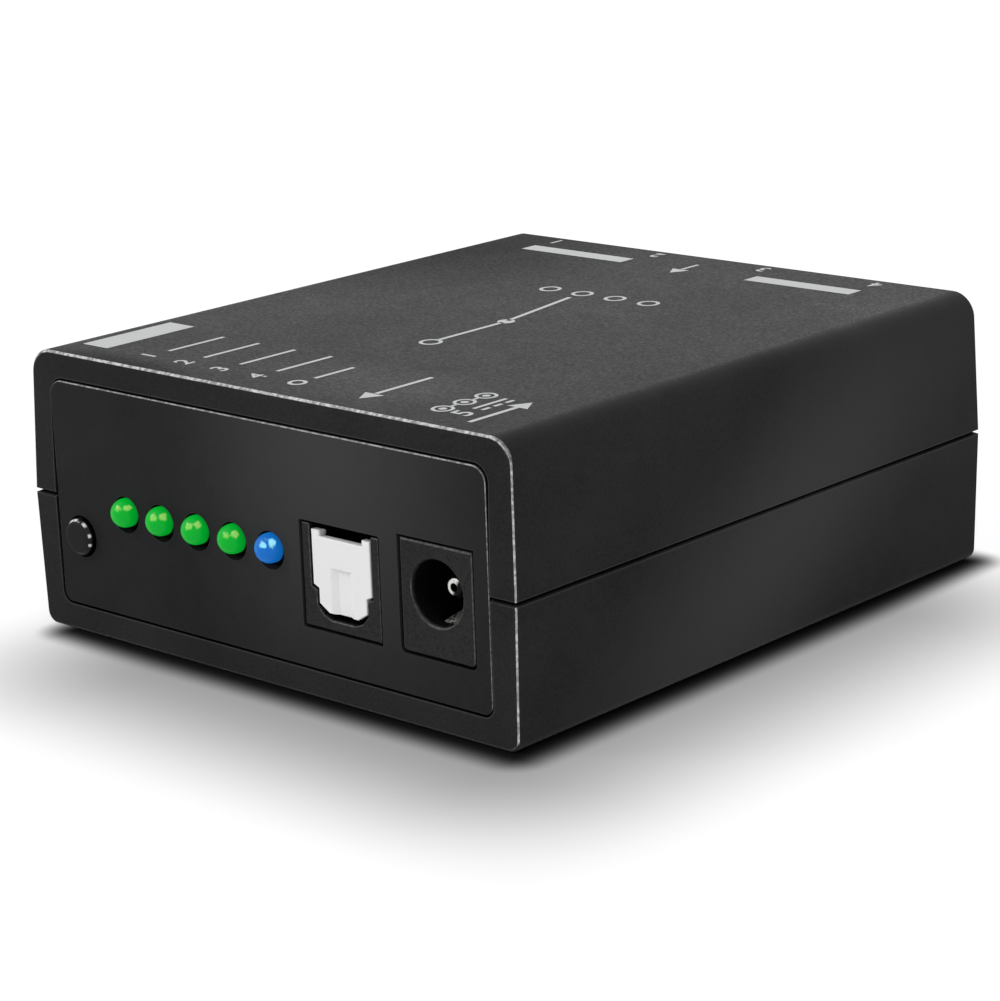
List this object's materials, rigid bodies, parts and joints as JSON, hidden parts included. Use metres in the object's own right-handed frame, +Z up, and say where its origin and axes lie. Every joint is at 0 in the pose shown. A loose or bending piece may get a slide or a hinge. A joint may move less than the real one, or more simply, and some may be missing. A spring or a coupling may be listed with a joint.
{
  "type": "optical audio switch",
  "caption": "Small two-part box with a button, indicator lamps, an optical output and a power inlet in front and optical inputs behind.",
  "frame": {"origin": "centre of the underside, on the surface it stands on", "axes": "+X to the right seen from the front, front panel towards -Y, +Z up"},
  "size_m": [0.067, 0.0766, 0.0296],
  "materials": {
    "case_plastic": "finely moulded, charcoal",
    "panel_plastic": "satin, charcoal",
    "socket_plastic": "smooth black",
    "shutter_plastic": "smooth light grey",
    "button_plastic": "satin black",
    "lamp_green": "clear tinted green, lit",
    "lamp_blue": "clear tinted blue, lit",
    "tinned_steel": "tinned",
    "bracket_steel": "plated sheet",
    "screw_steel": "black oxide",
    "spring_steel": "drawn wire",
    "contact_nickel": "nickel plated",
    "board_laminate": "green coated laminate",
    "solder": "bright solder",
    "optic_epoxy": "dark moulded epoxy",
    "switch_plastic": "moulded black",
    "chip_plastic": "moulded black",
    "can_aluminium": "drawn can",
    "can_base_plastic": "moulded black",
    "crystal_steel": "drawn can",
    "resistor_ceramic": "fired, black coated",
    "capacitor_ceramic": "fired"
  },
  "bodies": {
    "case": {"top_cover": "case_plastic", "bottom_cover": "case_plastic", "front_panel": "panel_plastic", "rear_panel": "panel_plastic", "case_screws": "screw_steel", "board_screws": "tinned_steel", "circuit_board": "board_laminate", "switch_bracket": "bracket_steel", "switch_case": "switch_plastic", "switch_dome": "spring_steel", "switch_pins": "tinned_steel", "led_1": "lamp_green", "led_2": "lamp_green", "led_3": "lamp_green", "led_4": "lamp_green", "led_auto": "lamp_blue", "led_leads": "tinned_steel", "output_sender": "optic_epoxy", "output_port_pins": "tinned_steel", "input_port_pins": "tinned_steel", "power_inlet_housing": "socket_plastic", "power_inlet_pin": "contact_nickel", "power_inlet_terminal": "tinned_steel", "power_inlet_leaf": "contact_nickel", "selector_chip": "chip_plastic", "selector_chip_pins": "tinned_steel", "controller_chip": "chip_plastic", "controller_chip_pins": "tinned_steel", "voltage_regulator": "chip_plastic", "regulator_tabs": "tinned_steel", "can_capacitors": "can_aluminium", "capacitor_bases": "can_base_plastic", "timing_crystal": "crystal_steel", "chip_resistors": "resistor_ceramic", "chip_capacitors": "capacitor_ceramic", "solder_joints": "solder", "output_port_housing": "socket_plastic", "output_port_spring": "spring_steel", "input_port_1_housing": "socket_plastic", "input_port_1_spring": "spring_steel", "input_port_2_housing": "socket_plastic", "input_port_2_spring": "spring_steel", "input_port_3_housing": "socket_plastic", "input_port_3_spring": "spring_steel", "input_port_4_housing": "socket_plastic", "input_port_4_spring": "spring_steel", "input_receiver_1": "optic_epoxy", "input_receiver_2": "optic_epoxy", "input_receiver_3": "optic_epoxy", "input_receiver_4": "optic_epoxy"},
    "select_button": {"select_button": "button_plastic"},
    "output_port_shutter": {"output_port_shutter": "shutter_plastic"},
    "input_port_1_shutter": {"input_port_1_shutter": "shutter_plastic"},
    "input_port_2_shutter": {"input_port_2_shutter": "shutter_plastic"},
    "input_port_3_shutter": {"input_port_3_shutter": "shutter_plastic"},
    "input_port_4_shutter": {"input_port_4_shutter": "shutter_plastic"}
  },
  "joints": [
    {"name": "select_button_press", "type": "slide", "parent": "case", "child": "select_button", "axis": [0, 1, 0], "range_m": [0, 0.0003], "stiffness_N_per_m": 3000, "springref_m": -0.0001},
    {"name": "output_port_shutter_hinge", "type": "hinge", "parent": "case", "child": "output_port_shutter", "pos_m": [0.01102, -0.03662, 0.01665], "axis": [1, 0, 0], "range_deg": [0, 88], "stiffness_Nm_per_rad": 0.0002, "springref_deg": -17.19, "deforming": ["output_port_spring"]},
    {"name": "input_port_1_shutter_hinge", "type": "hinge", "parent": "case", "child": "input_port_1_shutter", "pos_m": [-0.02375, 0.03662, 0.01665], "axis": [-1, 0, 0], "range_deg": [0, 88], "stiffness_Nm_per_rad": 0.0002, "springref_deg": -17.19, "deforming": ["input_port_1_spring"]},
    {"name": "input_port_2_shutter_hinge", "type": "hinge", "parent": "case", "child": "input_port_2_shutter", "pos_m": [-0.00855, 0.03662, 0.01665], "axis": [-1, 0, 0], "range_deg": [0, 88], "stiffness_Nm_per_rad": 0.0002, "springref_deg": -17.19, "deforming": ["input_port_2_spring"]},
    {"name": "input_port_3_shutter_hinge", "type": "hinge", "parent": "case", "child": "input_port_3_shutter", "pos_m": [0.00665, 0.03662, 0.01665], "axis": [-1, 0, 0], "range_deg": [0, 88], "stiffness_Nm_per_rad": 0.0002, "springref_deg": -17.19, "deforming": ["input_port_3_spring"]},
    {"name": "input_port_4_shutter_hinge", "type": "hinge", "parent": "case", "child": "input_port_4_shutter", "pos_m": [0.02185, 0.03662, 0.01665], "axis": [-1, 0, 0], "range_deg": [0, 88], "stiffness_Nm_per_rad": 0.0002, "springref_deg": -17.19, "deforming": ["input_port_4_spring"]}
  ]
}
